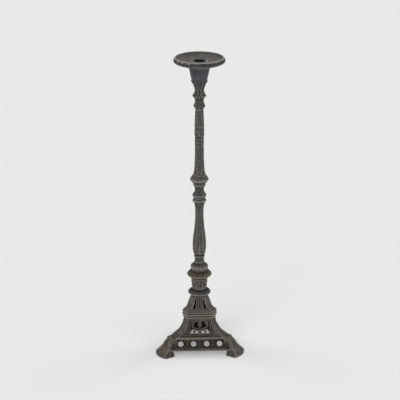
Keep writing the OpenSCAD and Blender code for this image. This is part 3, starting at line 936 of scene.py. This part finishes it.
def ledge_tone(co, normal):
    """Mouldings lighter on their ridges and darker in the quirks between them."""
    h = co[:, 2] - foot_of("ledge_plate")
    ridges = near(h, 3.7, 1.0) + near(h, 9.5, 1.2) + near(h, 14.2, 1.0)
    quirks = near(h, 6.5, 0.8) + near(h, 12.3, 0.7) + near(h, 1.0, 0.9)
    return 0.7 * ridges - 0.9 * quirks


def panel_tone(co, normal):
    """A band lighter on its rims, darker in its field and darker still round its holes, and
    painted shade on the faces that look into the base.
    """
    x, z = np.abs(co[:, 0]), co[:, 2]
    front = normal[:, 1] < 0.3
    rims = near(z, BAND_TOP - 0.8, 1.2) + 0.8 * near(z, BAND_FOOT + 1.5, 1.2)
    field = np.clip(np.minimum(z - BAND_FOOT - 3, BAND_TOP - 3.5 - z), 0, 1)
    away = np.min([
        np.hypot(x - hole, (z - HOLE_Z) / math.cos(BAND_SLOPE)) for hole in HOLES
    ], axis=0)
    bezel = np.clip((8.4 - away) / 0.8, 0, 1)
    band_tone = 0.9 * rims - 0.35 * field - 0.7 * bezel * field - 0.2
    return np.where(front, band_tone, INSIDE_SHADE)


def leg_tone(co, normal):
    """Dirt all over, which leaves only the ribs bright, and painted shade on the faces that look
    into the base.
    """
    return np.where(normal[:, 0] < -0.4, INSIDE_SHADE, -0.15)


def turned_copy(mesh, angle):
    """A copy of a mesh, turned about the stem's axis."""
    copy = mesh.copy()
    copy.transform(Matrix.Rotation(angle, 4, "Z"))
    return copy


tier = cast("tier", "upper_tier", tier_shapes(), voxel=0.4)
piece("upper_tier_cast", tier, "upper_tier", tier_iron)
ledge = cast("ledge", "ledge_plate", [])
piece("ledge_plate_cast", ledge, "ledge_plate", ledge_iron, tone=ledge_tone)

panel = cast("panel", "front_panel", panel_shapes(), voxel=0.36, soften=4)
for k, node in enumerate(("front_panel", "right_panel", "left_panel")):
    turn = k * SIDE_TURN
    piece(
        node + "_cast", turned_copy(panel, turn), node, panel_iron,
        tone=panel_tone, turn=turn,
    )

leg = cast("leg", "right_leg", leg_shapes(), turn=-FIRST_LEG_TURN, soften=8)
for k, node in enumerate(("right_leg", "rear_leg", "left_leg")):
    turn = FIRST_LEG_TURN + k * SIDE_TURN
    piece(
        node + "_cast", turned_copy(leg, turn), node, leg_iron,
        top_shade=0.05, tone=leg_tone, turn=turn,
    )

# The hidden steel keeps its CAD shape, with its edges broken.
for node in ("tie_rod", "tie_washer", "tie_nut", "leg_screws"):
    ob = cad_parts[node]
    ob.data.materials.clear()
    ob.data.materials.append(steel)
    bevel = ob.modifiers.new("edges", "BEVEL")
    bevel.width = 0.3 * MM
    bevel.segments = 2


# ---- Studio ---------------------------------------------------------------------


FLOOR_REACH = 15.0


def light_table(name, grey, glow):
    """A matt, plain surface that also glows, which keeps the shadows on it pale."""
    mat = bpy.data.materials.new(name)
    mat.use_nodes = True
    shader = mat.node_tree.nodes["Principled BSDF"]
    shader.inputs["Base Color"].default_value = (grey, grey, grey, 1)
    shader.inputs["Emission Color"].default_value = (1, 1, 1, 1)
    shader.inputs["Emission Strength"].default_value = glow
    shader.inputs["Roughness"].default_value = 0.9
    shader.inputs["Specular IOR Level"].default_value = 0.1
    return mat


corners = [
    (x * FLOOR_REACH, y * FLOOR_REACH, 0) for x, y in ((-1, -1), (1, -1), (1, 1), (-1, 1))
]
floor_mesh = bpy.data.meshes.new("floor")
floor_mesh.from_pydata(corners, [], [(0, 1, 2, 3)])
floor_mesh.materials.append(light_table("pale floor", 0.40, 0.31))
floor = bpy.data.objects.new("floor", floor_mesh)
bpy.context.scene.collection.objects.link(floor)

scene = bpy.context.scene
scene.view_settings.view_transform = "Standard"
world = bpy.data.worlds.new("studio")
scene.world = world
world.use_nodes = True
world.node_tree.nodes["Background"].inputs["Color"].default_value = (1, 1, 1, 1)
world.node_tree.nodes["Background"].inputs["Strength"].default_value = 0.35


def soft_sun(name, azimuth, elevation, spread, power):
    """A distant softbox. Azimuth is from -Y towards +X; angles are in degrees."""
    data = bpy.data.lights.new(name, "SUN")
    data.angle = math.radians(spread)
    data.energy = power
    ob = bpy.data.objects.new(name, data)
    ob.rotation_euler = (math.radians(90 - elevation), 0, math.radians(azimuth))
    scene.collection.objects.link(ob)


soft_sun("key", -30, 40, 35, 1.6)
soft_sun("fill", 50, 30, 50, 0.7)
soft_sun("left rim", -115, 34, 30, 1.2)
soft_sun("right rim", 115, 34, 30, 1.4)

CAMERA_AWAY, CAMERA_UP = 2.208, 1.165
CAMERA_TURN, CAMERA_DOWN = math.radians(2.1), math.radians(20.97)
camera_data = bpy.data.cameras.new("camera")
camera_data.lens = 107.9
camera_data.sensor_width = 36
camera_data.shift_x = 0.0016
camera = bpy.data.objects.new("camera", camera_data)
camera.location = (
    -CAMERA_AWAY * math.sin(CAMERA_TURN), -CAMERA_AWAY * math.cos(CAMERA_TURN), CAMERA_UP
)
camera.rotation_euler = (math.pi / 2 - CAMERA_DOWN, 0, -CAMERA_TURN)
scene.collection.objects.link(camera)
scene.camera = camera
